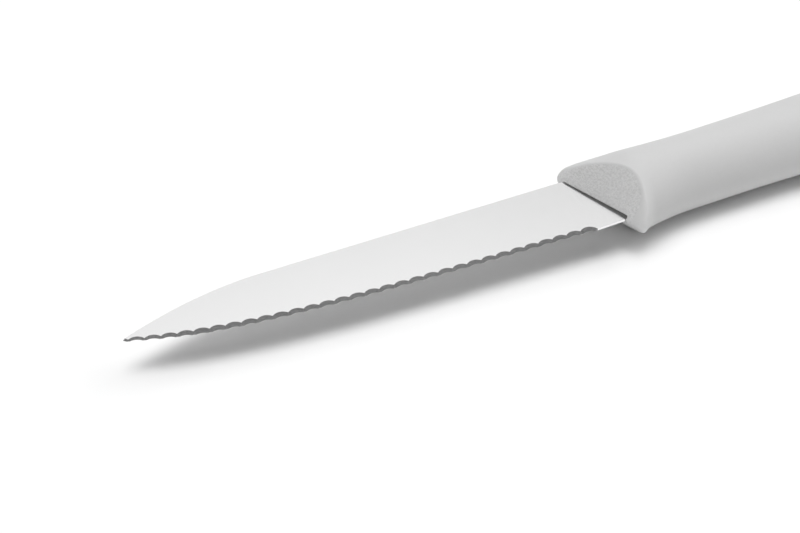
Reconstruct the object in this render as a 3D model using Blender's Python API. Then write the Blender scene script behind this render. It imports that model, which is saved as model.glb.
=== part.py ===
# Serrated paring knife, lying on its side with the edge toward -Y.
# A stamped steel blade, its tang hidden in the one-piece plastic handle that is moulded round it.
# X runs from the tip to the butt, Y = 0 is the straight spine and Z = 0 the blade's middle plane.
# At the end both pieces are set so that the knife stands on Z = 0, centred on the origin.
import math
import bpy
import bmesh
from mathutils import Vector

# Blade sizes
BLADE_LENGTH = 0.0941       # tip to the nose of the handle, along the spine
SPINE_THICKNESS = 0.0012    # at the handle
TIP_SPINE_THICKNESS = 0.0010    # what the taper to the tip leaves of the spine line at the tip
EDGE_THICKNESS = 0.0005     # at the plain heel, where the blade is deepest
HEEL_DEPTH = 0.01575        # spine to edge at the start of the plain heel
HEEL_RISE = 0.0004          # how much shallower the heel is where it meets the handle
HEEL_LENGTH = 0.00616       # plain edge between the last scallop and the handle
TIP_DROP = 0.0065           # how far the spine curves down to the tip
TIP_CURVE_LENGTH = 0.030
TIP_CURVE_POWER = 1.85
POINT_LENGTH = 0.014        # the far side is ground off over this length, to a thin point
POINT_THICKNESS = 0.0003

# Scallops, ground through the edge from the shown side only
SCALLOP_PITCH = 0.003
SCALLOP_RADIUS = 0.00206
SCALLOP_STEPS = 8           # faces round each scallop
GRIND_RUN = 0.0007          # how far a scallop leans outward from the shown side to the far side
CUSP_INSET = 0.0006         # the shown side's cusps lie this far inside the heel's edge line
BLANK_SPARE = 0.00038       # and this far inside the blank's edge, which cuts the far side's cusps short
FIRST_CUSP_BACK = 0.0004    # the cusp beside the heel lies this far ahead of the plain edge
CUSP_SLOPE = 0.0256         # the cusp line nears the spine steadily toward the tip
BELLY_RISE = 0.00615        # and by this much more at the tip
BELLY_POWER = 4.54

# Tang, inside the handle
TANG_LENGTH = 0.066         # behind the nose of the handle
TANG_TOP = 0.0022           # below the spine line
TANG_BOTTOM = 0.0124
TANG_CORNER = 0.004
SHOULDER_SETBACK = 0.0035   # how far the blade's full depth reaches into the handle
SHOULDER_RADIUS = 0.0015
KEY_HOLES = 3
KEY_HOLE_DIAMETER = 0.0045
KEY_HOLE_FIRST = 0.020      # behind the nose of the handle
KEY_HOLE_SPACING = 0.0165

# Handle sizes, heights above and depths below the spine line
HANDLE_LENGTH = 0.113       # nose to butt
NOSE_HEIGHT = 0.00357
FACE_HEIGHT = 0.00294
GUARD_HEIGHT = 0.00211
NECK_HEIGHT = 0.00122
WAIST_HEIGHT = 0.0005
GRIP_HEIGHT = 0.00112
PALM_HEIGHT = 0.00264
BUTT_HEIGHT = 0.0016
FACE_DEPTH = 0.0202
GUARD_DEPTH = 0.0189
NECK_DEPTH = 0.01637
WAIST_DEPTH = 0.0147
GRIP_DEPTH = 0.01454
PALM_DEPTH = 0.0155
BUTT_DEPTH = 0.0158
NOSE_THICKNESS = 0.0078
FACE_THICKNESS = 0.0117
GUARD_THICKNESS = 0.01374
SIDE_THICKNESS = 0.0150     # at the neck and at the palm, which the knife lies on
WAIST_THICKNESS = 0.01488
GRIP_THICKNESS = 0.01462
BUTT_THICKNESS = 0.0134
BUTT_ROUNDING = 0.008       # length of the rounded end

# Places along the handle, behind the nose
NOSE_PLACE = 0.0010
FACE_PLACE = 0.0045
GUARD_PLACE = 0.0085
NECK_PLACE = 0.0125
WAIST_PLACE = 0.023
GRIP_PLACE = 0.040
PALM_PLACE = 0.072
BUTT_PLACE = 0.103

# Front face of the handle: a ridge along the slot, from which both sides lean back.
# The ridge slants back toward the edge and bends back where it passes over the spine.
FRONT_SLANT = 0.378
FRONT_LEAN = 0.975
RIDGE_RADIUS = 0.00045
NOSE_BEND_START = 0.00096   # below the spine line
NOSE_BEND_RADIUS = 0.00333
FRONT_ROUNDING = 0.00035    # between the front face and the grip's sides
NOSE_ROUNDING = 0.0007      # at the ridge's end over the spine
GUARD_ROUNDING = 0.0017     # and at its end on the guard
ROUNDING_SPREAD = 8         # how quickly the longer roundings die out round the face
FRONT_BLEND = 0.040         # length in which the sections turn square to the handle
BLEND_POWER = 1.5

# Fits
CLEARANCE = 0.0003
MOUTH_HEIGHT = 0.0019       # the slot is a little wider where the blade leaves the nose
MOUTH_DEPTH = 0.0012
MOUTH_INSET = 0.0006        # from the spine, where the plastic hugs the blade
MOUTH_BEYOND_HEEL = 0.00115

# Fineness of the surfaces
SPINE_STEPS = 12
SPINE_CROWDING = 1.2        # more steps where the spine bends to the tip
CORNER_STEPS = 6
HOLE_SIDES = 24
RING_POINTS = 64
RING_CROWDING = 0.35        # more points at the parting plane, where the ridge is
FACE_RINGS = 4
ROUNDING_RINGS = 3
BODY_RINGS = 34
BODY_CROWDING = 1.25        # more rings near the front
BUTT_RINGS = 7
BUTT_FULLNESS = 0.85        # under 1, the butt is fuller than a half ellipse
SETTLING_STEPS = 24         # in which the slanting sections near the front settle


def make_material(name, colour, roughness, metallic):
    material = bpy.data.materials.new(name)
    material.use_nodes = True
    shader = material.node_tree.nodes["Principled BSDF"]
    shader.inputs["Base Color"].default_value = (*colour, 1.0)
    shader.inputs["Roughness"].default_value = roughness
    shader.inputs["Metallic"].default_value = metallic
    return material


def make_object(name, bm, material=None):
    bmesh.ops.recalc_face_normals(bm, faces=bm.faces[:])
    mesh = bpy.data.meshes.new(name)
    bm.to_mesh(mesh)
    bm.free()
    obj = bpy.data.objects.new(name, mesh)
    bpy.context.scene.collection.objects.link(obj)
    if material:
        mesh.materials.append(material)
    return obj


def hide_cutter(obj):
    obj.hide_render = True
    obj.display_type = "WIRE"


def cut(target, cutter):
    modifier = target.modifiers.new(cutter.name, "BOOLEAN")
    modifier.operation = "DIFFERENCE"
    modifier.solver = "EXACT"
    modifier.object = cutter
    hide_cutter(cutter)


def plate(upper, lower, upper_z, lower_z, crease_x=None):
    """A plate between two outlines with the same number of points.

    Its faces may taper, and may have a crease across, between their two corners at crease_x.
    """
    bm = bmesh.new()
    top = [bm.verts.new((x, y, upper_z(x, y))) for x, y in upper]
    bottom = [bm.verts.new((x, y, lower_z(x, y))) for x, y in lower]
    sides = (bm.faces.new(top), top), (bm.faces.new(bottom[::-1]), bottom)
    count = len(top)
    for i in range(count):
        j = (i + 1) % count
        bm.faces.new((top[i], bottom[i], bottom[j], top[j]))
    if crease_x is not None:
        for face, corners in sides:
            ends = [corner for corner in corners if abs(corner.co.x - crease_x) < 1e-7]
            bmesh.utils.face_split(face, *ends)
    return bm


def slab(outline, thickness):
    """A flat plate of even thickness about the blade's middle plane."""
    return plate(outline, outline, lambda x, y: thickness / 2, lambda x, y: -thickness / 2)


def corner_arc(corner, before, after, radius):
    """Points that round a corner of an outline between its two neighbours."""
    corner, before, after = Vector(corner), Vector(before), Vector(after)
    to_before = (before - corner).normalized()
    to_after = (after - corner).normalized()
    half_angle = to_before.angle(to_after) / 2
    tangent = radius / math.tan(half_angle)
    centre = corner + (to_before + to_after).normalized() * radius / math.sin(half_angle)
    start = corner + to_before * tangent - centre
    end = corner + to_after * tangent - centre
    return [tuple(centre + start.slerp(end, i / CORNER_STEPS) * radius) for i in range(CORNER_STEPS + 1)]


# Blade

def blade_half_thickness(x, y):
    """The sides taper to the edge all along, and from the handle a little to the tip as well."""
    to_edge = (SPINE_THICKNESS - EDGE_THICKNESS) / 2 / HEEL_DEPTH
    to_tip = (SPINE_THICKNESS - TIP_SPINE_THICKNESS) / 2 / BLADE_LENGTH
    return SPINE_THICKNESS / 2 + to_edge * y + to_tip * min(0.0, x - BLADE_LENGTH)


def spine_y(x):
    reach = max(0.0, TIP_CURVE_LENGTH - x) / TIP_CURVE_LENGTH
    return -TIP_DROP * reach ** TIP_CURVE_POWER


def heel_start():
    return BLADE_LENGTH + FRONT_SLANT * HEEL_DEPTH - HEEL_LENGTH


def heel_edge_y(x):
    """The plain edge from the last scallop into the handle."""
    hidden_end = BLADE_LENGTH + FRONT_SLANT * HEEL_DEPTH + SHOULDER_SETBACK
    return -HEEL_DEPTH + HEEL_RISE * (x - heel_start()) / (hidden_end - heel_start())


def cusp_y(x):
    """Line through the cusps on the shown side."""
    ahead = heel_start() - x
    belly = BELLY_RISE * (max(0.0, ahead) / heel_start()) ** BELLY_POWER
    return CUSP_INSET - HEEL_DEPTH + CUSP_SLOPE * ahead + belly


def blank_edge_y(x):
    """Edge of the stamped blank before the scallops are ground."""
    ahead = max(0.0, heel_start() - x)
    spare = CUSP_INSET + (BLANK_SPARE - CUSP_INSET) * min(1.0, ahead / SCALLOP_PITCH)
    return max(-HEEL_DEPTH, cusp_y(x) - spare * min(1.0, x / POINT_LENGTH))


def cusp_points():
    """Cusps one pitch apart along the edge, from the heel until past the tip."""
    x = heel_start() - FIRST_CUSP_BACK
    points = [Vector((x, cusp_y(x)))]
    while x > 0:
        slope = (cusp_y(x) - cusp_y(x - SCALLOP_PITCH)) / SCALLOP_PITCH
        x -= SCALLOP_PITCH / math.hypot(1, slope)
        points.append(Vector((x, cusp_y(x))))
    return points


def scallop_arc(right, left, run, first_y=None):
    """One scallop from its right cusp to its left one, moved outward by the grind's run.

    The scallop beside the heel starts at the heel's edge, and the one at the tip ends where it
    meets the spine. None reaches past the blank's edge.
    """
    along = (left - right).normalized()
    outward = Vector((-along.y, along.x))
    half = (right - left).length / 2
    depth = math.sqrt(SCALLOP_RADIUS ** 2 - half ** 2)
    if outward.y > 0:
        outward.negate()
    centre = (left + right) / 2 + outward * (depth + run)
    tilt = math.atan2(outward.y, outward.x) + math.pi
    spread = math.asin(half / SCALLOP_RADIUS)
    start, end = tilt - spread, tilt + spread
    if first_y is not None:
        start = math.asin((first_y - centre.y) / SCALLOP_RADIUS)

    def point(angle):
        return centre.x + SCALLOP_RADIUS * math.cos(angle), centre.y + SCALLOP_RADIUS * math.sin(angle)

    if left.x < 0:
        low, high = start, end
        for _ in range(40):
            end = (low + high) / 2
            x, y = point(end)
            if x < 0 or y > spine_y(x):
                high = end
            else:
                low = end
    arc = [point(start + (end - start) * i / SCALLOP_STEPS) for i in range(SCALLOP_STEPS + 1)]
    return [(x, max(y, blank_edge_y(x))) for x, y in arc]


def edge_outline(run):
    """The scalloped edge of one side of the blade, from the heel to the tip."""
    cusps = cusp_points()
    points = []
    for i, (right, left) in enumerate(zip(cusps, cusps[1:])):
        first_y = -HEEL_DEPTH if i == 0 else None
        arc = scallop_arc(right, left, run, first_y)
        points += arc if i == 0 else arc[1:]
    return points


def tang_outline(grow):
    """Hidden part of the blade, from its spine round the tang's end to the heel's edge.

    The room for it in the handle has the same outline, grown by the clearance.
    """
    nose = BLADE_LENGTH
    heel_x = nose + FRONT_SLANT * HEEL_DEPTH
    shoulder_top = nose + SHOULDER_SETBACK + grow
    shoulder_bottom = heel_x + SHOULDER_SETBACK + grow
    end = nose + TANG_LENGTH + grow
    top = -TANG_TOP + grow
    bottom = -TANG_BOTTOM - grow
    heel_y = HEEL_RISE - HEEL_DEPTH - grow
    corner = TANG_CORNER + grow
    points = [(shoulder_top, grow)]
    points += corner_arc((shoulder_top, top), points[-1], (end, top), SHOULDER_RADIUS - grow)
    points += corner_arc((end, top), (shoulder_top, top), (end, bottom), corner)
    points += corner_arc((end, bottom), (end, top), (shoulder_bottom, bottom), corner)
    points += corner_arc((shoulder_bottom, bottom), (end, bottom), (shoulder_bottom, heel_y),
                         SHOULDER_RADIUS - grow)
    points += [(shoulder_bottom, heel_y)]
    return points


def spine_outline():
    """From the tip back to the start of the straight spine."""
    points = []
    for i in range(1, SPINE_STEPS + 1):
        x = TIP_CURVE_LENGTH * (i / SPINE_STEPS) ** SPINE_CROWDING
        points.append((x, spine_y(x)))
    return points


def key_holes(name, diameter):
    """The tang's holes, or the plastic pins through them, as one group of cylinders."""
    bm = bmesh.new()
    middle = -(TANG_TOP + TANG_BOTTOM) / 2
    through = SPINE_THICKNESS + 4 * CLEARANCE
    for i in range(KEY_HOLES):
        made = bmesh.ops.create_cone(bm, cap_ends=True, segments=HOLE_SIDES, radius1=diameter / 2,
                                     radius2=diameter / 2, depth=through)
        x = BLADE_LENGTH + KEY_HOLE_FIRST + i * KEY_HOLE_SPACING
        bmesh.ops.translate(bm, verts=made["verts"], vec=(x, middle, 0))
    return make_object(name, bm)


def point_cutter():
    """What is ground off the far side toward the point."""
    full = 2 * blade_half_thickness(0, -TIP_DROP)
    outline = [(-POINT_LENGTH, CLEARANCE), (POINT_LENGTH, CLEARANCE),
               (POINT_LENGTH, -HEEL_DEPTH), (-POINT_LENGTH, -HEEL_DEPTH)]

    def ground_face(x, y):
        return (full - POINT_THICKNESS) * (1 - x / POINT_LENGTH) - blade_half_thickness(x, y)

    return make_object("point_cutter", plate(outline, outline, ground_face, lambda x, y: -SPINE_THICKNESS))


def build_blade():
    steel = make_material("stainless_steel", (0.72, 0.72, 0.72), 0.35, 1.0)
    back = spine_outline() + [(BLADE_LENGTH, 0.0)] + tang_outline(0.0)
    back.append((BLADE_LENGTH, heel_edge_y(BLADE_LENGTH)))
    upper = back + edge_outline(0.0)
    lower = back + edge_outline(GRIND_RUN)
    blade = make_object("blade", plate(upper, lower, blade_half_thickness,
                                       lambda x, y: -blade_half_thickness(x, y), BLADE_LENGTH), steel)
    cut(blade, point_cutter())
    cut(blade, key_holes("key_hole_cutter", KEY_HOLE_DIAMETER))
    return blade


# Handle

def handle_stations():
    """Place, height above, depth below the spine line and thickness, from nose to butt."""
    return (
        (NOSE_PLACE, NOSE_HEIGHT, FACE_DEPTH, NOSE_THICKNESS),
        (FACE_PLACE, FACE_HEIGHT, FACE_DEPTH, FACE_THICKNESS),
        (GUARD_PLACE, GUARD_HEIGHT, GUARD_DEPTH, GUARD_THICKNESS),
        (NECK_PLACE, NECK_HEIGHT, NECK_DEPTH, SIDE_THICKNESS),
        (WAIST_PLACE, WAIST_HEIGHT, WAIST_DEPTH, WAIST_THICKNESS),
        (GRIP_PLACE, GRIP_HEIGHT, GRIP_DEPTH, GRIP_THICKNESS),
        (PALM_PLACE, PALM_HEIGHT, PALM_DEPTH, SIDE_THICKNESS),
        (BUTT_PLACE, BUTT_HEIGHT, BUTT_DEPTH, BUTT_THICKNESS),
        (HANDLE_LENGTH, BUTT_HEIGHT, BUTT_DEPTH, BUTT_THICKNESS),
    )


def section_at(place):
    """Smooth values between the stations: centre, half height and half thickness."""
    stations = handle_stations()
    place = min(max(place, stations[0][0]), stations[-1][0])
    i = max(k for k in range(len(stations) - 1) if stations[k][0] <= place)

    def slope(k, column):
        if k == 0 or k == len(stations) - 1:
            return 0.0
        before = (stations[k][column] - stations[k - 1][column]) / (stations[k][0] - stations[k - 1][0])
        after = (stations[k + 1][column] - stations[k][column]) / (stations[k + 1][0] - stations[k][0])
        if before * after <= 0:
            return 0.0
        return 2 * before * after / (before + after)

    width = stations[i + 1][0] - stations[i][0]
    t = (place - stations[i][0]) / width
    values = []
    for column in (1, 2, 3):
        start, end = stations[i][column], stations[i + 1][column]
        values.append(start * (1 + 2 * t) * (1 - t) ** 2 + end * t * t * (3 - 2 * t)
                      + slope(i, column) * width * t * (1 - t) ** 2
                      - slope(i + 1, column) * width * t * t * (1 - t))
    height, depth, thickness = values
    return (height - depth) / 2, (height + depth) / 2, thickness / 2


def front_offset(y, z):
    """How far behind the nose the front face lies."""
    bend = max(0.0, y + NOSE_BEND_START) ** 2 / (2 * NOSE_BEND_RADIUS)
    lean = FRONT_LEAN * (math.hypot(z, RIDGE_RADIUS) - RIDGE_RADIUS)
    return -FRONT_SLANT * y + bend + lean


def ring_angles():
    """Angles from the spine side round the grip."""
    even = [2 * math.pi * i / RING_POINTS for i in range(RING_POINTS)]
    return [angle - RING_CROWDING * math.sin(2 * angle) for angle in even]


def body_point(distance, angle):
    """A point of the grip; near the front it follows the slant and lean of the front face."""
    square = max(0.0, 1 - distance / FRONT_BLEND) ** BLEND_POWER
    place = distance
    for _ in range(SETTLING_STEPS):
        centre, half_height, half_thickness = section_at(place)
        y = centre + half_height * math.cos(angle)
        z = half_thickness * math.sin(angle)
        place = (place + distance + square * front_offset(y, z)) / 2
    return Vector((BLADE_LENGTH + place, y, z))


def rounding_at(angle):
    """Length of the rounding behind the front face, long only at the ends of the ridge."""
    toward_spine = max(0.0, math.cos(angle)) ** ROUNDING_SPREAD
    toward_edge = max(0.0, -math.cos(angle)) ** ROUNDING_SPREAD
    return (FRONT_ROUNDING + (NOSE_ROUNDING - FRONT_ROUNDING) * toward_spine
            + (GUARD_ROUNDING - FRONT_ROUNDING) * toward_edge)


def front_point(y, z):
    return Vector((BLADE_LENGTH + front_offset(y, z), y, z))


def handle_rings():
    """A point on the front face, the rings from there to the butt, and the butt's last point."""
    angles = ring_angles()
    edge = [body_point(0.0, angle) for angle in angles]
    centre_y = sum(point.y for point in edge) / len(edge)
    face = []
    for angle, point in zip(angles, edge):
        scale = 1 - rounding_at(angle) / math.hypot(point.y - centre_y, point.z)
        face.append(front_point(centre_y + (point.y - centre_y) * scale, point.z * scale))
    rings = []
    for i in range(1, FACE_RINGS + 1):
        share = i / FACE_RINGS
        rings.append([front_point(centre_y + (point.y - centre_y) * share, point.z * share)
                      for point in face])
    back = [body_point(rounding_at(angle), angle) for angle in angles]
    for i in range(1, ROUNDING_RINGS + 1):
        t = i / (ROUNDING_RINGS + 1)
        rings.append([a * (1 - t) ** 2 + b * 2 * t * (1 - t) + c * t * t
                      for a, b, c in zip(face, edge, back)])
    straight = HANDLE_LENGTH - BUTT_ROUNDING
    for i in range(BODY_RINGS + 1):
        share = (i / BODY_RINGS) ** BODY_CROWDING
        rings.append([body_point(rounding_at(angle) + (straight - rounding_at(angle)) * share, angle)
                      for angle in angles])
    for i in range(1, BUTT_RINGS):
        turn = math.pi / 2 * i / BUTT_RINGS
        distance = straight + BUTT_ROUNDING * math.sin(turn)
        middle, half_height, half_thickness = section_at(distance)
        shrink = math.cos(turn) ** BUTT_FULLNESS
        rings.append([Vector((BLADE_LENGTH + distance, middle + half_height * shrink * math.cos(angle),
                              half_thickness * shrink * math.sin(angle))) for angle in angles])
    end_middle = section_at(HANDLE_LENGTH)[0]
    return front_point(centre_y, 0.0), rings, Vector((BLADE_LENGTH + HANDLE_LENGTH, end_middle, 0.0))


def loft(first, rings, last):
    """A closed skin from a point through rings of equal count to a point."""
    bm = bmesh.new()
    start = bm.verts.new(first)
    loops = [[bm.verts.new(point) for point in ring] for ring in rings]
    end = bm.verts.new(last)
    count = len(loops[0])
    for i in range(count):
        j = (i + 1) % count
        bm.faces.new((start, loops[0][i], loops[0][j]))
        bm.faces.new((end, loops[-1][j], loops[-1][i]))
        for a, b in zip(loops, loops[1:]):
            bm.faces.new((a[i], b[i], b[j], a[j]))
    return bm


def tang_cutter():
    """The room that the tang fills in the plastic; the pins through its holes are left standing."""
    before_nose = BLADE_LENGTH - MOUTH_DEPTH
    outline = tang_outline(CLEARANCE)
    outline = [(before_nose, CLEARANCE)] + outline + [(before_nose, outline[-1][1])]
    cutter = make_object("tang_cutter", slab(outline, SPINE_THICKNESS + 2 * CLEARANCE))
    cut(cutter, key_holes("plastic_pins", KEY_HOLE_DIAMETER - 2 * CLEARANCE))
    return cutter


def mouth_cutter():
    """The wider mouth of the slot, which follows the slant of the nose."""
    top = -MOUTH_INSET
    bottom = HEEL_RISE - HEEL_DEPTH - MOUTH_BEYOND_HEEL
    outline = []
    for y, x in ((top, -MOUTH_DEPTH), (top, MOUTH_DEPTH), (bottom, MOUTH_DEPTH), (bottom, -MOUTH_DEPTH)):
        outline.append((BLADE_LENGTH + x - FRONT_SLANT * y, y))
    return make_object("mouth_cutter", slab(outline, MOUTH_HEIGHT))


def build_handle():
    plastic = make_material("white_plastic", (0.86, 0.86, 0.86), 0.45, 0.0)
    handle = make_object("handle", loft(*handle_rings()), plastic)
    cut(handle, tang_cutter())
    cut(handle, mouth_cutter())
    handle.data.shade_smooth()
    return handle


def stand_on_origin(objects):
    """Move the pieces so that the knife lies on Z = 0 with the origin under its middle."""
    corners = [vertex.co for obj in objects for vertex in obj.data.vertices]
    low = [min(point[axis] for point in corners) for axis in range(3)]
    high = [max(point[axis] for point in corners) for axis in range(3)]
    shift = Vector((-(low[0] + high[0]) / 2, -(low[1] + high[1]) / 2, -low[2]))
    for obj in bpy.data.objects:
        obj.location = shift


for old in list(bpy.data.objects):
    bpy.data.objects.remove(old, do_unlink=True)
knife = [build_blade(), build_handle()]
stand_on_origin(knife)
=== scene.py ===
# A serrated paring knife lying on its side: a stamped steel blade in a moulded white handle.
# Sizes are in metres. Each section is first laid out along the knife, from the tip at X = 0 and
# with the straight spine at Y = 0 and the blade's middle plane at Z = 0, and then set into the
# CAD's frame, where the knife lies on the floor.
import math
import bmesh
import bpy
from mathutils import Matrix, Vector


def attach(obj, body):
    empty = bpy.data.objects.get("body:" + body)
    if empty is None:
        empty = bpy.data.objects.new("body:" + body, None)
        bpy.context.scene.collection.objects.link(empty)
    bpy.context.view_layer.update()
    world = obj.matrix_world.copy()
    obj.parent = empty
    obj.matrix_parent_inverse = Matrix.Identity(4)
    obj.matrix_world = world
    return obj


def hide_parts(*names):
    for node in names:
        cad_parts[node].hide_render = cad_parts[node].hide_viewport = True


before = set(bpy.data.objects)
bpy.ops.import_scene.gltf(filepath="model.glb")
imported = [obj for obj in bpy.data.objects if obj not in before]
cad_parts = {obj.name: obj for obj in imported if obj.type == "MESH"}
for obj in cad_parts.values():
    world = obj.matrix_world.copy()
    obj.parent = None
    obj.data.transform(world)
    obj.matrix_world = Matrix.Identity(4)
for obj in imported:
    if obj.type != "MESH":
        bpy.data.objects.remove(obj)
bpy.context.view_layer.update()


# Blade
# Stamped from thin stainless strip, ground flat from spine to edge and brushed across, then
# scalloped by a round wheel from the shown side only. Its tang, with three key holes, is
# hidden in the plastic that is moulded round it.

SET_DOWN = Vector((-0.10355, 0.0078014, 0.0075))   # from this layout into the CAD's frame
BLADE_LENGTH = 0.0941
SPINE_THICKNESS = 0.0012
TIP_SPINE_THICKNESS = 0.0010
EDGE_THICKNESS = 0.0005
HEEL_DEPTH = 0.01575
HEEL_RISE = 0.0004
HEEL_LENGTH = 0.00616
TIP_DROP = 0.0065
TIP_CURVE_LENGTH = 0.030
TIP_CURVE_POWER = 1.85
FRONT_SLANT = 0.378
TANG_LENGTH = 0.066
TANG_TOP = 0.0022
TANG_BOTTOM = 0.0124
TANG_CORNER = 0.004
SHOULDER_SETBACK = 0.0035
SHOULDER_RADIUS = 0.0015
KEY_HOLE_DIAMETER = 0.0045
KEY_HOLE_PLACES = (0.020, 0.0365, 0.053)
POINT_LENGTH = 0.014        # the far side is ground up to a thin point over this length
POINT_THINNING = 0.00042
POINT_WIDTH = 0.00012       # the tip is this blunt
CORNER_BREAK = 0.00003      # the tumbled corner along the spine

SCALLOPS = 32               # 31 whole ones and a part of one at the tip
SCALLOP_PITCH = 0.003
WHEEL_RADIUS = 0.00206
GRIND_RUN = 0.0007
CUSP_INSET = 0.0006
CUSP_SLOPE = 0.0256
BELLY_RISE = 0.00615
BELLY_POWER = 4.54
BLANK_SPARE = 0.00038       # the blank's edge lies this far outside the cusps before the grinding
WHEEL_WIDTH = 0.006
WHEEL_SIDES = 72
KEY_HOLE_SIDES = 40
CORNER_STEPS = 10           # points along each rounded corner of the tang
BLADE_SMOOTH_ANGLE = 16     # degrees
TAPER_INSET = 0.0012        # the taper starts this far inside the handle

HEEL_START = BLADE_LENGTH + FRONT_SLANT * HEEL_DEPTH - HEEL_LENGTH
TAPER_START = BLADE_LENGTH + FRONT_SLANT * HEEL_DEPTH + TAPER_INSET


def half_thickness(x, y):
    """Half the blade's thickness, tapering to the edge, and from the handle on to the tip."""
    to_edge = (SPINE_THICKNESS - EDGE_THICKNESS) / 2 / HEEL_DEPTH
    to_tip = (SPINE_THICKNESS - TIP_SPINE_THICKNESS) / 2 / TAPER_START
    return SPINE_THICKNESS / 2 + to_edge * y + to_tip * min(0.0, x - TAPER_START)


def spine_y(x):
    return -TIP_DROP * (max(0.0, TIP_CURVE_LENGTH - x) / TIP_CURVE_LENGTH) ** TIP_CURVE_POWER


def cusp_y(x):
    ahead = HEEL_START - x
    belly = BELLY_RISE * (max(0.0, ahead) / HEEL_START) ** BELLY_POWER
    return CUSP_INSET - HEEL_DEPTH + CUSP_SLOPE * ahead + belly


def corner_arc(corner, before, after, radius):
    """Points that round an outline's corner between its two neighbours."""
    corner, before, after = Vector(corner), Vector(before), Vector(after)
    to_before = (before - corner).normalized()
    to_after = (after - corner).normalized()
    half_angle = to_before.angle(to_after) / 2
    centre = corner + (to_before + to_after).normalized() * radius / math.sin(half_angle)
    tangent = radius / math.tan(half_angle)
    start = corner + to_before * tangent - centre
    end = corner + to_after * tangent - centre
    return [tuple(centre + start.slerp(end, i / CORNER_STEPS) * radius)
            for i in range(CORNER_STEPS + 1)]


def tang_outline(grow):
    """The hidden part of the blade, from its spine round the tang's end to the heel's edge."""
    heel_x = BLADE_LENGTH + FRONT_SLANT * HEEL_DEPTH
    shoulder_top = BLADE_LENGTH + SHOULDER_SETBACK + grow
    shoulder_bottom = heel_x + SHOULDER_SETBACK + grow
    end = BLADE_LENGTH + TANG_LENGTH + grow
    top = grow - TANG_TOP
    bottom = -TANG_BOTTOM - grow
    heel_y = HEEL_RISE - HEEL_DEPTH - grow
    radius = SHOULDER_RADIUS - grow
    round_end = TANG_CORNER + grow
    return ([(shoulder_top, grow)]
            + corner_arc((shoulder_top, top), (shoulder_top, grow), (end, top), radius)
            + corner_arc((end, top), (shoulder_top, top), (end, bottom), round_end)
            + corner_arc((end, bottom), (end, top), (shoulder_bottom, bottom), round_end)
            + corner_arc((shoulder_bottom, bottom), (end, bottom), (shoulder_bottom, heel_y),
                         radius)
            + [(shoulder_bottom, heel_y)])


def blank_outline():
    """The stamped blank, from the tip along the spine, round the tang and back along the edge."""
    spine_steps, edge_steps = 36, 60
    crowding = 1.2              # brings the points closer together toward the tip
    points = []
    for i in range(spine_steps + 1):
        x = TIP_CURVE_LENGTH * (i / spine_steps) ** crowding
        points.append((x, spine_y(x)))
    tang = tang_outline(0.0)
    shoulder = CORNER_STEPS + 2     # the points of the tang's upper shoulder
    hidden_length = tang[-1][0] - HEEL_START
    heel_rise = HEEL_RISE * (TAPER_START - HEEL_START) / hidden_length
    points += tang[:shoulder] + [(TAPER_START, -TANG_TOP)] + tang[shoulder:]
    points.append((TAPER_START, heel_rise - HEEL_DEPTH))
    points.append((HEEL_START, -HEEL_DEPTH))
    tip_y = points[0][1]
    for i in range(1, edge_steps):
        x = HEEL_START * (1 - i / edge_steps)
        y = cusp_y(x) - BLANK_SPARE * min(1.0, x / POINT_LENGTH)
        points.append((x, max(y, -HEEL_DEPTH)))
    points.append((0.0, tip_y - POINT_WIDTH))
    return points


def stamped_blank(outline):
    """A plate whose sides taper, with a crease across them inside the handle."""
    near = 1e-6

    def on_straight_spine(vertex):
        return vertex.co.y > -near and 0.0 < vertex.co.x < TAPER_START

    def on_tip_curve(vertex):
        x, y = vertex.co.x, vertex.co.y
        return x < TIP_CURVE_LENGTH + near and abs(y - spine_y(x)) < near

    bm = bmesh.new()
    ground = bm.faces.layers.bool.new("ground")
    sides = []
    for sign in (1, -1):
        sides.append([bm.verts.new((x, y, sign * half_thickness(x, y))) for x, y in outline])
    upper, lower = sides
    cutting_edge = outline.index((HEEL_START, -HEEL_DEPTH))
    for i in range(len(outline)):
        j = (i + 1) % len(outline)
        bm.faces.new((upper[i], lower[i], lower[j], upper[j]))[ground] = i >= cutting_edge
    for face in (bm.faces.new(upper), bm.faces.new(lower[::-1])):
        ends = [v for v in face.verts if abs(v.co.x - TAPER_START) < near / 10]
        bmesh.utils.face_split(face, *ends)
    spine = [e for e in bm.edges
             if all(map(on_straight_spine, e.verts)) or all(map(on_tip_curve, e.verts))]
    along = [e for e in spine if abs(e.verts[0].co.x - e.verts[1].co.x) > near]
    bmesh.ops.bevel(bm, geom=along, offset=CORNER_BREAK, segments=2, profile=0.5, affect="EDGES")
    bmesh.ops.recalc_face_normals(bm, faces=bm.faces[:])
    return bm


def new_object(name, bm):
    mesh = bpy.data.meshes.new(name)
    bm.to_mesh(mesh)
    bm.free()
    obj = bpy.data.objects.new(name, mesh)
    bpy.context.scene.collection.objects.link(obj)
    return obj


def apply_tools(obj):
    """Turns what the modifiers make into the object's plain mesh."""
    evaluated = obj.evaluated_get(bpy.context.evaluated_depsgraph_get())
    mesh = bpy.data.meshes.new_from_object(evaluated)
    obj.modifiers.clear()
    obj.data = mesh


def cut_away(obj, bm):
    """Takes a closed shape out of a piece."""
    cutter = new_object("cutter", bm)
    modifier = obj.modifiers.new("cut", "BOOLEAN")
    modifier.operation = "DIFFERENCE"
    modifier.solver = "EXACT"
    modifier.object = cutter
    apply_tools(obj)
    bpy.data.objects.remove(cutter)


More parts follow.
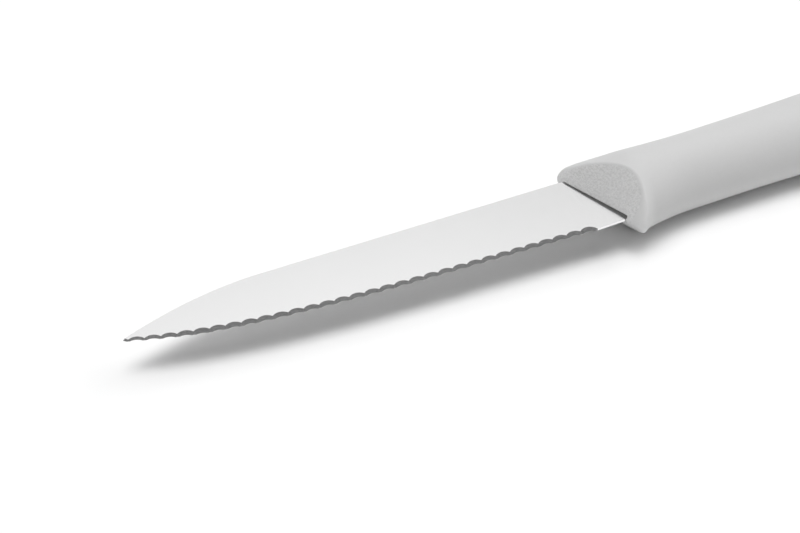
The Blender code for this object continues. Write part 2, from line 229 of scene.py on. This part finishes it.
def point_grind():
    """What is ground off the far side toward the point."""
    bm = bmesh.new()
    past, width, lower = 0.005, 0.02, -0.004      # the cut reaches past the blade on all sides
    corners = []
    for x in (POINT_LENGTH, -past):
        for y in (past, -width):
            face = POINT_THINNING * (1 - x / POINT_LENGTH) - half_thickness(x, y)
            corners.append((bm.verts.new((x, y, face)), bm.verts.new((x, y, lower))))
    order = (corners[0], corners[1], corners[3], corners[2])
    bm.faces.new([pair[0] for pair in order])
    bm.faces.new([pair[1] for pair in order[::-1]])
    for a, b in zip(order, order[1:] + order[:1]):
        bm.faces.new((a[0], a[1], b[1], b[0]))
    bmesh.ops.recalc_face_normals(bm, faces=bm.faces[:])
    return bm


def key_hole_cylinders(diameter):
    """The tang's key holes, or the plastic that fills them."""
    bm = bmesh.new()
    middle = -(TANG_TOP + TANG_BOTTOM) / 2
    for place in KEY_HOLE_PLACES:
        made = bmesh.ops.create_cone(bm, cap_ends=True, segments=KEY_HOLE_SIDES,
                                     radius1=diameter / 2, radius2=diameter / 2,
                                     depth=SPINE_THICKNESS * 4)
        bmesh.ops.translate(bm, verts=made["verts"], vec=(BLADE_LENGTH + place, middle, 0))
    return bm


def finish_mesh(obj, angle):
    """Sets a piece into the CAD's frame and smooths all but the edges sharper than the angle."""
    mesh = obj.data
    for vertex in mesh.vertices:
        vertex.co += SET_DOWN
    mesh.polygons.foreach_set("use_smooth", [True] * len(mesh.polygons))
    mesh.set_sharp_from_angle(angle=math.radians(angle))


def brushed_steel(name, colour, roughness, streak_scale, streak_depth, wander):
    """Steel with fine streaks, which run along the axes whose streak scale is small."""
    cloud_share = 0.35
    rough_swing = 0.04
    material = bpy.data.materials.new(name)
    material.use_nodes = True
    nodes, links = material.node_tree.nodes, material.node_tree.links
    shader = nodes["Principled BSDF"]
    shader.inputs["Metallic"].default_value = 1.0
    place = nodes.new("ShaderNodeTexCoord")
    stretch = nodes.new("ShaderNodeMapping")
    stretch.inputs["Scale"].default_value = streak_scale
    links.new(place.outputs["Object"], stretch.inputs["Vector"])
    streaks = nodes.new("ShaderNodeTexNoise")
    streaks.inputs["Scale"].default_value = 1.0
    streaks.inputs["Detail"].default_value = 4.0
    links.new(stretch.outputs["Vector"], streaks.inputs["Vector"])
    clouds = nodes.new("ShaderNodeTexNoise")
    clouds.inputs["Scale"].default_value = 60.0
    clouds.inputs["Detail"].default_value = 3.0
    links.new(place.outputs["Object"], clouds.inputs["Vector"])
    mixed = nodes.new("ShaderNodeMath")
    mixed.operation = "MULTIPLY_ADD"
    mixed.inputs[1].default_value = cloud_share
    links.new(clouds.outputs["Fac"], mixed.inputs[0])
    links.new(streaks.outputs["Fac"], mixed.inputs[2])
    tint = nodes.new("ShaderNodeMapRange")
    tint.inputs["From Min"].default_value = 0.35
    links.new(mixed.outputs[0], tint.inputs["Value"])
    colours = nodes.new("ShaderNodeValToRGB")
    colours.color_ramp.elements[0].color = (*(c * (1 - wander) for c in colour), 1.0)
    colours.color_ramp.elements[1].color = (*(c * (1 + wander) for c in colour), 1.0)
    links.new(tint.outputs["Result"], colours.inputs["Fac"])
    links.new(colours.outputs["Color"], shader.inputs["Base Color"])
    rough = nodes.new("ShaderNodeMapRange")
    rough.inputs["To Min"].default_value = roughness - rough_swing
    rough.inputs["To Max"].default_value = roughness + rough_swing
    links.new(tint.outputs["Result"], rough.inputs["Value"])
    links.new(rough.outputs["Result"], shader.inputs["Roughness"])
    bump = nodes.new("ShaderNodeBump")
    bump.inputs["Strength"].default_value = 0.5
    bump.inputs["Distance"].default_value = streak_depth
    links.new(streaks.outputs["Fac"], bump.inputs["Height"])
    links.new(bump.outputs["Normal"], shader.inputs["Normal"])
    return material


def grinding_tree(satin, ground):
    """Runs a round wheel across the edge, once for each scallop, at an even pitch."""
    tree = bpy.data.node_groups.new("scallop grinding", "GeometryNodeTree")
    face = tree.interface
    face.new_socket("Geometry", in_out="INPUT", socket_type="NodeSocketGeometry")
    for name, value in (("Pitch", SCALLOP_PITCH), ("Wheel radius", WHEEL_RADIUS),
                        ("Grind run", GRIND_RUN), ("Blade thickness", EDGE_THICKNESS),
                        ("Heel start", HEEL_START),
                        ("Cusp depth", HEEL_DEPTH - CUSP_INSET), ("Slope", CUSP_SLOPE),
                        ("Belly rise", BELLY_RISE), ("Belly power", BELLY_POWER)):
        socket = face.new_socket(name, in_out="INPUT", socket_type="NodeSocketFloat")
        socket.default_value = value
    socket = face.new_socket("Scallops", in_out="INPUT", socket_type="NodeSocketInt")
    socket.default_value = SCALLOPS
    face.new_socket("Geometry", in_out="OUTPUT", socket_type="NodeSocketGeometry")
    nodes, links = tree.nodes, tree.links
    given = nodes.new("NodeGroupInput")
    out = nodes.new("NodeGroupOutput")

    def feed(node, values):
        for socket, value in zip(node.inputs, values):
            if isinstance(value, (int, float)):
                socket.default_value = value
            else:
                links.new(value, socket)
        return node.outputs[0]

    def math_node(operation, *values):
        node = nodes.new("ShaderNodeMath")
        node.operation = operation
        return feed(node, values)

    def vector(x, y, z):
        return feed(nodes.new("ShaderNodeCombineXYZ"), (x, y, z))

    # The line through the cusps, from the heel past the tip
    line_points = 240
    past_tip = 1.08             # the line's length, with the heel to the tip as 1
    line = nodes.new("GeometryNodeMeshLine")
    line.inputs["Count"].default_value = line_points
    index = nodes.new("GeometryNodeInputIndex").outputs[0]
    reach = math_node("MULTIPLY", given.outputs["Heel start"], past_tip)
    ahead = math_node("MULTIPLY", math_node("DIVIDE", index, line_points - 1.0), reach)
    x = math_node("SUBTRACT", given.outputs["Heel start"], ahead)
    share = math_node("DIVIDE", ahead, given.outputs["Heel start"])
    curved = math_node("POWER", share, given.outputs["Belly power"])
    belly = math_node("MULTIPLY", curved, given.outputs["Belly rise"])
    y = math_node("ADD", math_node("MULTIPLY_ADD", ahead, given.outputs["Slope"], belly),
                  math_node("MULTIPLY", given.outputs["Cusp depth"], -1.0))
    bend = nodes.new("GeometryNodeSetPosition")
    links.new(line.outputs["Mesh"], bend.inputs["Geometry"])
    links.new(vector(x, y, 0.0), bend.inputs["Position"])
    curve = nodes.new("GeometryNodeMeshToCurve")
    links.new(bend.outputs["Geometry"], curve.inputs["Mesh"])

    # A wheel stands at the middle of each pitch, off the edge by what leaves cusps on that line
    heel_gap = 0.2              # the first wheel stands this share of its radius farther ahead
    half_pitch = math_node("MULTIPLY", given.outputs["Pitch"], 0.5)
    radius = given.outputs["Wheel radius"]
    radius_squared = math_node("MULTIPLY", radius, radius)
    half_pitch_squared = math_node("MULTIPLY", half_pitch, half_pitch)
    off = math_node("SQRT", math_node("SUBTRACT", radius_squared, half_pitch_squared))
    trim = nodes.new("GeometryNodeTrimCurve")
    trim.mode = "LENGTH"
    links.new(curve.outputs["Curve"], trim.inputs["Curve"])
    start = math_node("ADD", half_pitch, math_node("MULTIPLY", radius, heel_gap))
    lengths = [socket for socket in trim.inputs
               if socket.name in ("Start", "End") and socket.enabled]
    links.new(start, lengths[0])
    gaps = math_node("SUBTRACT", given.outputs["Scallops"], 1.0)
    links.new(math_node("MULTIPLY_ADD", gaps, given.outputs["Pitch"], start), lengths[1])
    even = nodes.new("GeometryNodeCurveToPoints")
    even.mode = "COUNT"
    links.new(trim.outputs["Curve"], even.inputs["Curve"])
    links.new(given.outputs["Scallops"], even.inputs["Count"])
    beside = nodes.new("ShaderNodeVectorMath")
    beside.operation = "CROSS_PRODUCT"
    links.new(even.outputs["Tangent"], beside.inputs[0])
    beside.inputs[1].default_value = (0.0, 0.0, -1.0)
    outward = nodes.new("ShaderNodeVectorMath")
    outward.operation = "SCALE"
    links.new(beside.outputs[0], outward.inputs[0])
    half_run = math_node("MULTIPLY", given.outputs["Grind run"], 0.5)
    links.new(math_node("ADD", off, half_run), outward.inputs["Scale"])
    stand = nodes.new("GeometryNodeSetPosition")
    links.new(even.outputs["Points"], stand.inputs["Geometry"])
    links.new(outward.outputs[0], stand.inputs["Offset"])

    # The wheel's axis leans outward from the shown side to the far side by the grind's run
    axis = nodes.new("ShaderNodeVectorMath")
    axis.operation = "SCALE"
    links.new(beside.outputs[0], axis.inputs[0])
    lean = math_node("DIVIDE", given.outputs["Grind run"], given.outputs["Blade thickness"])
    links.new(math_node("MULTIPLY", lean, -1.0), axis.inputs["Scale"])
    leaning = nodes.new("ShaderNodeVectorMath")
    leaning.operation = "ADD"
    links.new(axis.outputs[0], leaning.inputs[0])
    leaning.inputs[1].default_value = (0.0, 0.0, 1.0)
    face_along = nodes.new("FunctionNodeAlignRotationToVector")
    face_along.axis = "X"
    links.new(even.outputs["Tangent"], face_along.inputs["Vector"])
    turn = nodes.new("FunctionNodeAlignRotationToVector")
    turn.axis = "Z"
    turn.pivot_axis = "X"
    links.new(face_along.outputs["Rotation"], turn.inputs["Rotation"])
    links.new(leaning.outputs[0], turn.inputs["Vector"])
    stretched = math_node("SQRT", math_node("MULTIPLY_ADD", lean, lean, 1.0))
    narrow = math_node("DIVIDE", 1.0, stretched)
    wheel = nodes.new("GeometryNodeMeshCylinder")
    wheel.inputs["Vertices"].default_value = WHEEL_SIDES
    links.new(radius, wheel.inputs["Radius"])
    wheel.inputs["Depth"].default_value = WHEEL_WIDTH
    mark = nodes.new("GeometryNodeStoreNamedAttribute")
    mark.data_type = "BOOLEAN"
    mark.domain = "FACE"
    mark.inputs["Name"].default_value = "ground"
    mark.inputs["Value"].default_value = True
    links.new(wheel.outputs["Mesh"], mark.inputs["Geometry"])
    wheels = nodes.new("GeometryNodeInstanceOnPoints")
    links.new(stand.outputs["Geometry"], wheels.inputs["Points"])
    links.new(mark.outputs["Geometry"], wheels.inputs["Instance"])
    links.new(turn.outputs["Rotation"], wheels.inputs["Rotation"])
    links.new(vector(1.0, narrow, 1.0), wheels.inputs["Scale"])
    all_wheels = nodes.new("GeometryNodeRealizeInstances")
    links.new(wheels.outputs["Instances"], all_wheels.inputs["Geometry"])

    grind = nodes.new("GeometryNodeMeshBoolean")
    grind.operation = "DIFFERENCE"
    grind.solver = "EXACT"
    grind.inputs["Self Intersection"].default_value = True
    links.new(given.outputs["Geometry"], grind.inputs["Mesh 1"])
    links.new(all_wheels.outputs["Geometry"], grind.inputs["Mesh 2"])
    whole = nodes.new("GeometryNodeRealizeInstances")
    links.new(grind.outputs["Mesh"], whole.inputs["Geometry"])
    was_ground = nodes.new("GeometryNodeInputNamedAttribute")
    was_ground.data_type = "BOOLEAN"
    was_ground.inputs["Name"].default_value = "ground"
    polish = nodes.new("GeometryNodeSetMaterial")
    polish.inputs["Material"].default_value = satin
    links.new(whole.outputs["Geometry"], polish.inputs["Geometry"])
    # the scallops' faces get the ground steel, whose dark colour is partly painted shade
    grit = nodes.new("GeometryNodeSetMaterial")
    grit.inputs["Material"].default_value = ground
    links.new(polish.outputs["Geometry"], grit.inputs["Geometry"])
    links.new(was_ground.outputs["Attribute"], grit.inputs["Selection"])
    links.new(grit.outputs["Geometry"], out.inputs["Geometry"])
    return tree


satin_steel = brushed_steel("satin steel", colour=(0.86, 0.86, 0.86), roughness=0.20,
                            streak_scale=(9000.0, 260.0, 260.0), streak_depth=0.000004,
                            wander=0.03)
# The ground steel's colour is darker than bare steel: partly the coarser ground finish, partly
# painted shade for the dark that the scallops mirror.
ground_steel_painted_shade = brushed_steel("ground steel with painted shade", colour=(0.31, 0.31, 0.31), roughness=0.34,
                             streak_scale=(5200.0, 5200.0, 300.0), streak_depth=0.00002,
                             wander=0.50)

blade = new_object("steel_blade", stamped_blank(blank_outline()))
blade.data.materials.append(satin_steel)
cut_away(blade, point_grind())
grinding = blade.modifiers.new("grinding", "NODES")
grinding.node_group = grinding_tree(satin_steel, ground_steel_painted_shade)
for socket in grinding.node_group.interface.items_tree:
    if socket.in_out == "INPUT" and socket.socket_type != "NodeSocketGeometry":
        grinding[socket.identifier] = socket.default_value
apply_tools(blade)
cut_away(blade, key_hole_cylinders(KEY_HOLE_DIAMETER))
finish_mesh(blade, BLADE_SMOOTH_ANGLE)
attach(blade, "root")
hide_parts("blade")


# Handle
# White polypropylene, moulded in one shot round the tang. Its front leans back from a ridge on
# the parting plane and has a fine spark-eroded texture; the grip is smooth. A slot is left
# open round the blade where it leaves the nose.

HANDLE_LENGTH = 0.113
STATIONS = (                # place behind the nose, height, depth, half thickness
    (0.0010, 0.00357, 0.0202, 0.0039),
    (0.0045, 0.00294, 0.0202, 0.00585),
    (0.0085, 0.00211, 0.0189, 0.00687),
    (0.0125, 0.00122, 0.01637, 0.0075),
    (0.023, 0.0005, 0.0147, 0.00744),
    (0.040, 0.00112, 0.01454, 0.00731),
    (0.072, 0.00264, 0.0155, 0.0075),
    (0.103, 0.0016, 0.0158, 0.0067),
    (0.113, 0.0016, 0.0158, 0.0067),
)
BUTT_ROUNDING = 0.008
FRONT_LEAN = 0.975
NOSE_BEND_START = 0.00096   # below the spine line, where the ridge starts to bend back
NOSE_BEND_RADIUS = 0.00333
FRONT_RIDGE = 0.00045       # the ridge's radius
FRONT_ROUNDING = 0.00035
NOSE_ROUNDING = 0.0011
GUARD_ROUNDING = 0.0024
FRONT_BLEND = 0.040         # the sections turn square to the grip over this length
FRONT_BLEND_POWER = 1.5
RIDGE_END_POWER = 8         # how closely the longer roundings keep to the ridge's two ends
SNUGNESS = 0.00003          # what the cooled plastic stands off the steel
MOUTH_HALF_HEIGHT = 0.00076
MOUTH_FLARE = 0.00006
MOUTH_CORNER = 0.00035
MOUTH_DEPTH = 0.0018
MOUTH_START = -0.0003       # from the spine line
MOUTH_END = -0.0156
MOUTH_LIP = 0.00026
MOUTH_FLOOR_INSET = 0.0003
RING_POINTS = 128
RING_CROWDING = 0.35
HANDLE_SMOOTH_ANGLE = 34    # degrees


def section_at(place):
    """Smooth values between the stations: centre, half height and half thickness."""
    place = min(max(place, STATIONS[0][0]), STATIONS[-1][0])
    i = max(k for k in range(len(STATIONS) - 1) if STATIONS[k][0] <= place)

    def slope(k, column):
        if k in (0, len(STATIONS) - 1):
            return 0.0
        last, here, coming = STATIONS[k - 1], STATIONS[k], STATIONS[k + 1]
        before = (here[column] - last[column]) / (here[0] - last[0])
        after = (coming[column] - here[column]) / (coming[0] - here[0])
        return 2 * before * after / (before + after) if before * after > 0 else 0.0

    width = STATIONS[i + 1][0] - STATIONS[i][0]
    t = (place - STATIONS[i][0]) / width
    height, depth, half_side = (
        STATIONS[i][c] * (1 + 2 * t) * (1 - t) ** 2 + STATIONS[i + 1][c] * t * t * (3 - 2 * t)
        + slope(i, c) * width * t * (1 - t) ** 2 - slope(i + 1, c) * width * t * t * (1 - t)
        for c in (1, 2, 3))
    return (height - depth) / 2, (height + depth) / 2, half_side


def front_x(y, z):
    """How far behind the nose the front face lies."""
    bend = max(0.0, y + NOSE_BEND_START) ** 2 / (2 * NOSE_BEND_RADIUS)
    return -FRONT_SLANT * y + bend + FRONT_LEAN * (math.hypot(z, FRONT_RIDGE) - FRONT_RIDGE)


def ring_angles():
    """Angles round the grip, closer together at the parting plane, where the ridge is."""
    even = (2 * math.pi * i / RING_POINTS for i in range(RING_POINTS))
    return [a - RING_CROWDING * math.sin(2 * a) for a in even]


def body_point(distance, angle):
    """A point of the grip; near the front, its sections follow the slant and lean of the front."""
    slanted = max(0.0, 1 - distance / FRONT_BLEND) ** FRONT_BLEND_POWER
    settling_steps = 20
    place = distance
    for _ in range(settling_steps):
        centre, half_height, half_side = section_at(place)
        y = centre + half_height * math.cos(angle)
        z = half_side * math.sin(angle)
        place = (place + distance + slanted * front_x(y, z)) / 2
    return Vector((BLADE_LENGTH + place, y, z))


def rounding_at(angle):
    """Length of the rounding behind the front face, long only where its ridge ends."""
    toward_spine = max(0.0, math.cos(angle)) ** RIDGE_END_POWER
    toward_edge = max(0.0, -math.cos(angle)) ** RIDGE_END_POWER
    return (FRONT_ROUNDING + (NOSE_ROUNDING - FRONT_ROUNDING) * toward_spine
            + (GUARD_ROUNDING - FRONT_ROUNDING) * toward_edge)


def mouth_ring(grow, sink):
    """The slot's outline on the front face, with rounded corners and wider toward the guard."""
    top, bottom = MOUTH_START + grow, MOUTH_END - grow
    middle, reach = (top + bottom) / 2, (top - bottom) / 2
    corner = MOUTH_CORNER + grow
    level = 1e-9                # the sine of an angle that lies on the parting plane
    ring = []
    for angle in ring_angles():
        y = middle + reach * math.cos(angle)
        half = MOUTH_HALF_HEIGHT + grow + MOUTH_FLARE * (top - y) / (top - bottom)
        past = max(0.0, abs(y - middle) - reach + corner)
        z = half - corner + math.sqrt(max(0.0, corner ** 2 - past ** 2))
        z = math.copysign(z, math.sin(angle)) if abs(math.sin(angle)) > level else 0.0
        ring.append(Vector((BLADE_LENGTH + front_x(y, z) + sink, y, z)))
    return ring


def handle_mesh():
    """Rings from the slot's floor out over the front, round the grip and closed at the butt."""
    angles = ring_angles()
    edge = [body_point(0.0, a) for a in angles]
    centre_y = sum(p.y for p in edge) / len(edge)
    face_edge = []
    for a, p in zip(angles, edge):
        shrink = 1 - rounding_at(a) / math.hypot(p.y - centre_y, p.z)
        y, z = centre_y + (p.y - centre_y) * shrink, p.z * shrink
        face_edge.append(Vector((BLADE_LENGTH + front_x(y, z), y, z)))
    wall_steps, lip_steps, face_steps, rounding_steps, body_steps, butt_steps = 3, 5, 14, 8, 90, 16
    body_crowding = 1.25        # brings the rings closer together toward the front
    butt_fullness = 0.85
    lip = mouth_ring(MOUTH_LIP, 0.0)
    corner = mouth_ring(0.0, 0.0)
    inner = mouth_ring(0.0, MOUTH_LIP)
    rings = [mouth_ring(-MOUTH_FLOOR_INSET, MOUTH_DEPTH)]
    for i in range(wall_steps + 1):
        sink = (MOUTH_DEPTH - MOUTH_LIP) * (1 - i / wall_steps)
        rings.append([p + Vector((sink, 0, 0)) for p in inner])
    for i in range(1, lip_steps):
        t = i / lip_steps
        rings.append([a.lerp(b, t).lerp(b.lerp(c, t), t) for a, b, c in zip(inner, corner, lip)])
    rings.append(lip)
    for i in range(1, face_steps + 1):
        ring = []
        for a, b in zip(lip, face_edge):
            p = a.lerp(b, i / face_steps)
            ring.append(Vector((BLADE_LENGTH + front_x(p.y, p.z), p.y, p.z)))
        rings.append(ring)
    front_end = len(rings) - 1
    back = [body_point(rounding_at(a), a) for a in angles]
    for i in range(1, rounding_steps):
        t = i / rounding_steps
        rings.append([f * (1 - t) ** 2 + e * 2 * t * (1 - t) + b * t * t
                      for f, e, b in zip(face_edge, edge, back)])
    straight = HANDLE_LENGTH - BUTT_ROUNDING
    for i in range(body_steps + 1):
        t = (i / body_steps) ** body_crowding
        rings.append([body_point(rounding_at(a) + (straight - rounding_at(a)) * t, a)
                      for a in angles])
    for i in range(1, butt_steps):
        turn = math.pi / 2 * i / butt_steps
        distance = straight + BUTT_ROUNDING * math.sin(turn)
        middle, half_height, half_side = section_at(distance)
        shrink = math.cos(turn) ** butt_fullness
        rings.append([Vector((BLADE_LENGTH + distance, middle + half_height * shrink * math.cos(a),
                              half_side * shrink * math.sin(a))) for a in angles])
    smooth, eroded = 0, 1       # the handle's two materials
    bm = bmesh.new()
    loops = [[bm.verts.new(p) for p in ring] for ring in rings]
    for k, (inner_loop, outer_loop) in enumerate(zip(loops, loops[1:])):
        for i in range(RING_POINTS):
            j = (i + 1) % RING_POINTS
            quad = bm.faces.new((inner_loop[i], outer_loop[i], outer_loop[j], inner_loop[j]))
            quad.material_index = eroded if k < front_end else smooth
    last = section_at(HANDLE_LENGTH)[0]
    end = bm.verts.new((BLADE_LENGTH + HANDLE_LENGTH, last, 0.0))
    floor_middle = (MOUTH_START + MOUTH_END) / 2
    floor_x = BLADE_LENGTH + front_x(floor_middle, 0.0) + MOUTH_DEPTH
    start = bm.verts.new((floor_x, floor_middle, 0.0))
    for i in range(RING_POINTS):
        j = (i + 1) % RING_POINTS
        bm.faces.new((end, loops[-1][j], loops[-1][i]))
        bm.faces.new((start, loops[0][i], loops[0][j])).material_index = eroded
    bmesh.ops.recalc_face_normals(bm, faces=bm.faces[:])
    return bm


def tang_room():
    """What the tang fills in the plastic; plastic stands in its key holes."""
    before = BLADE_LENGTH - MOUTH_DEPTH
    outline = tang_outline(SNUGNESS)
    outline = [(before, SNUGNESS)] + outline + [(before, outline[-1][1])]
    half = SPINE_THICKNESS / 2 + SNUGNESS
    bm = bmesh.new()
    upper = [bm.verts.new((x, y, half)) for x, y in outline]
    lower = [bm.verts.new((x, y, -half)) for x, y in outline]
    bm.faces.new(upper)
    bm.faces.new(lower[::-1])
    for i in range(len(outline)):
        j = (i + 1) % len(outline)
        bm.faces.new((upper[i], lower[i], lower[j], upper[j]))
    bmesh.ops.recalc_face_normals(bm, faces=bm.faces[:])
    room = new_object("room", bm)
    cut_away(room, key_hole_cylinders(KEY_HOLE_DIAMETER - 2 * SNUGNESS))
    bm = bmesh.new()
    bm.from_mesh(room.data)
    bpy.data.objects.remove(room)
    return bm


def white_plastic(name, colour, roughness, glow, grain_scale, grain_depth, wander):
    """Moulded polypropylene with the finish that the mould's wall leaves on it."""
    rough_swing = 0.08
    material = bpy.data.materials.new(name)
    material.use_nodes = True
    nodes, links = material.node_tree.nodes, material.node_tree.links
    shader = nodes["Principled BSDF"]
    shader.inputs["IOR"].default_value = 1.49
    shader.inputs["Subsurface Weight"].default_value = glow
    shader.inputs["Subsurface Radius"].default_value = (1.0, 1.0, 1.0)
    shader.inputs["Subsurface Scale"].default_value = 0.003
    place = nodes.new("ShaderNodeTexCoord")
    grain = nodes.new("ShaderNodeTexNoise")
    grain.inputs["Scale"].default_value = grain_scale
    grain.inputs["Detail"].default_value = 3.0
    grain.inputs["Roughness"].default_value = 0.6
    links.new(place.outputs["Object"], grain.inputs["Vector"])
    flow = nodes.new("ShaderNodeTexNoise")
    flow.inputs["Scale"].default_value = 45.0
    flow.inputs["Detail"].default_value = 2.0
    links.new(place.outputs["Object"], flow.inputs["Vector"])
    tint = nodes.new("ShaderNodeValToRGB")
    tint.color_ramp.elements[0].position = 0.3
    tint.color_ramp.elements[1].position = 0.7
    tint.color_ramp.elements[0].color = (*(c * (1 - wander) for c in colour), 1.0)
    tint.color_ramp.elements[1].color = (*(c * (1 + wander) for c in colour), 1.0)
    links.new(grain.outputs["Fac"], tint.inputs["Fac"])
    links.new(tint.outputs["Color"], shader.inputs["Base Color"])
    rough = nodes.new("ShaderNodeMapRange")
    rough.inputs["To Min"].default_value = roughness - rough_swing
    rough.inputs["To Max"].default_value = roughness + rough_swing
    links.new(flow.outputs["Fac"], rough.inputs["Value"])
    links.new(rough.outputs["Result"], shader.inputs["Roughness"])
    bump = nodes.new("ShaderNodeBump")
    bump.inputs["Strength"].default_value = 0.6
    bump.inputs["Distance"].default_value = grain_depth
    links.new(grain.outputs["Fac"], bump.inputs["Height"])
    links.new(bump.outputs["Normal"], shader.inputs["Normal"])
    return material


handle = new_object("moulded_handle", handle_mesh())
handle.data.materials.append(white_plastic(
    "smooth plastic", colour=(0.60, 0.60, 0.60), roughness=0.5, glow=0.5,
    grain_scale=1400.0, grain_depth=0.00001, wander=0.008))
handle.data.materials.append(white_plastic(
    "eroded plastic", colour=(0.61, 0.61, 0.61), roughness=0.62, glow=0.1,
    grain_scale=2300.0, grain_depth=0.00022, wander=0.11))
cut_away(handle, tang_room())
finish_mesh(handle, HANDLE_SMOOTH_ANGLE)
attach(handle, "root")
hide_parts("handle")


# Floor, light and camera
# A white sweep in a light tent: soft boxes overhead, leaning toward the edge and the tip, one
# behind the butt, and paler walls on the spine's side and before the edge. The boxes leave no
# glare on the steel, which mirrors the tent's walls.

FLOOR_REACH = 4.0
FLOOR_CLEARANCE = 0.00002   # keeps the handle's underside clear of the floor
MIRRORED_WALL = 0.60        # what the steel mirrors of the tent's unlit walls

floor_mesh = bmesh.new()
bmesh.ops.create_grid(floor_mesh, x_segments=1, y_segments=1, size=FLOOR_REACH)
bmesh.ops.translate(floor_mesh, verts=floor_mesh.verts[:], vec=(0.0, 0.0, -FLOOR_CLEARANCE))
floor = new_object("white_floor", floor_mesh)
paper = bpy.data.materials.new("white paper")
paper.use_nodes = True
paper_shader = paper.node_tree.nodes["Principled BSDF"]
paper_shader.inputs["Base Color"].default_value = (0.92, 0.92, 0.92, 1.0)
paper_shader.inputs["Roughness"].default_value = 0.95
paper_shader.inputs["Specular IOR Level"].default_value = 0.0
floor.data.materials.append(paper)

SOFT_BOXES = (              # direction, degrees across, strength
    ((0.0, 0.0, 1.0), 26.7, 0.93),
    ((0.0, -0.174, 0.985), 13.3, 0.19),
    ((0.0, -0.342, 0.940), 14.6, 0.17),
    ((-0.438, 0.0, 0.899), 29.8, 0.81),
    ((0.883, 0.0, 0.469), 46.4, 1.02),
)
for direction, across, strength in SOFT_BOXES:
    box_light = bpy.data.lights.new("soft box", "SUN")
    box_light.angle = math.radians(across)
    box_light.energy = strength
    soft_box = bpy.data.objects.new("soft box", box_light)
    soft_box.rotation_euler = Vector(direction).to_track_quat("Z", "Y").to_euler()
    soft_box.visible_glossy = False
    bpy.context.scene.collection.objects.link(soft_box)

SOFT_WALLS = (              # direction, degrees to its soft rim's outside and inside, strength
    ((0.497, 0.287, 0.819), 34, 10, 0.86),
    ((0.0, 0.574, 0.819), 34, 10, 0.93),
    ((-0.624, -0.624, 0.469), 32, 8, 0.28),
    ((0.0, -0.883, 0.469), 32, 8, 0.70),
)
world = bpy.data.worlds.new("light tent")
bpy.context.scene.world = world
world.use_nodes = True
nodes, links = world.node_tree.nodes, world.node_tree.links
place = nodes.new("ShaderNodeTexCoord")
total = None
for direction, outside, inside, strength in SOFT_WALLS:
    toward = nodes.new("ShaderNodeVectorMath")
    toward.operation = "DOT_PRODUCT"
    toward.inputs[1].default_value = direction
    links.new(place.outputs["Generated"], toward.inputs[0])
    soft = nodes.new("ShaderNodeMapRange")
    soft.interpolation_type = "SMOOTHSTEP"
    soft.inputs["From Min"].default_value = math.cos(math.radians(outside))
    soft.inputs["From Max"].default_value = math.cos(math.radians(inside))
    soft.inputs["To Max"].default_value = strength
    links.new(toward.outputs["Value"], soft.inputs["Value"])
    both = nodes.new("ShaderNodeMath")
    both.inputs[1].default_value = 0.0
    links.new(soft.outputs["Result"], both.inputs[0])
    if total:
        links.new(total, both.inputs[1])
    total = both.outputs[0]
seen = nodes.new("ShaderNodeLightPath")
dim_wall = nodes.new("ShaderNodeMath")
dim_wall.operation = "MULTIPLY"
dim_wall.inputs[1].default_value = MIRRORED_WALL
links.new(seen.outputs["Is Glossy Ray"], dim_wall.inputs[0])
mirrored = nodes.new("ShaderNodeMath")
mirrored.operation = "MAXIMUM"
links.new(total, mirrored.inputs[0])
links.new(dim_wall.outputs[0], mirrored.inputs[1])
to_eye = nodes.new("ShaderNodeMixShader")
white = nodes.new("ShaderNodeBackground")
white.inputs["Color"].default_value = (1.0, 1.0, 1.0, 1.0)
links.new(mirrored.outputs[0], nodes["Background"].inputs["Strength"])
nodes["Background"].inputs["Color"].default_value = (1.0, 1.0, 1.0, 1.0)
links.new(seen.outputs["Is Camera Ray"], to_eye.inputs["Fac"])
links.new(nodes["Background"].outputs[0], to_eye.inputs[1])
links.new(white.outputs[0], to_eye.inputs[2])
links.new(to_eye.outputs[0], nodes["World Output"].inputs["Surface"])

camera_data = bpy.data.cameras.new("camera")
camera_data.sensor_width = 36.0
camera_data.lens = 119.545
camera_data.clip_start = 0.01
camera = bpy.data.objects.new("camera", camera_data)
camera.location = (-0.215798, -0.354793, 0.320011)
camera.rotation_euler = (math.radians(51.3653), math.radians(0.4978), math.radians(-25.7242))
bpy.context.scene.collection.objects.link(camera)
bpy.context.scene.camera = camera
bpy.context.scene.view_settings.view_transform = "Standard"
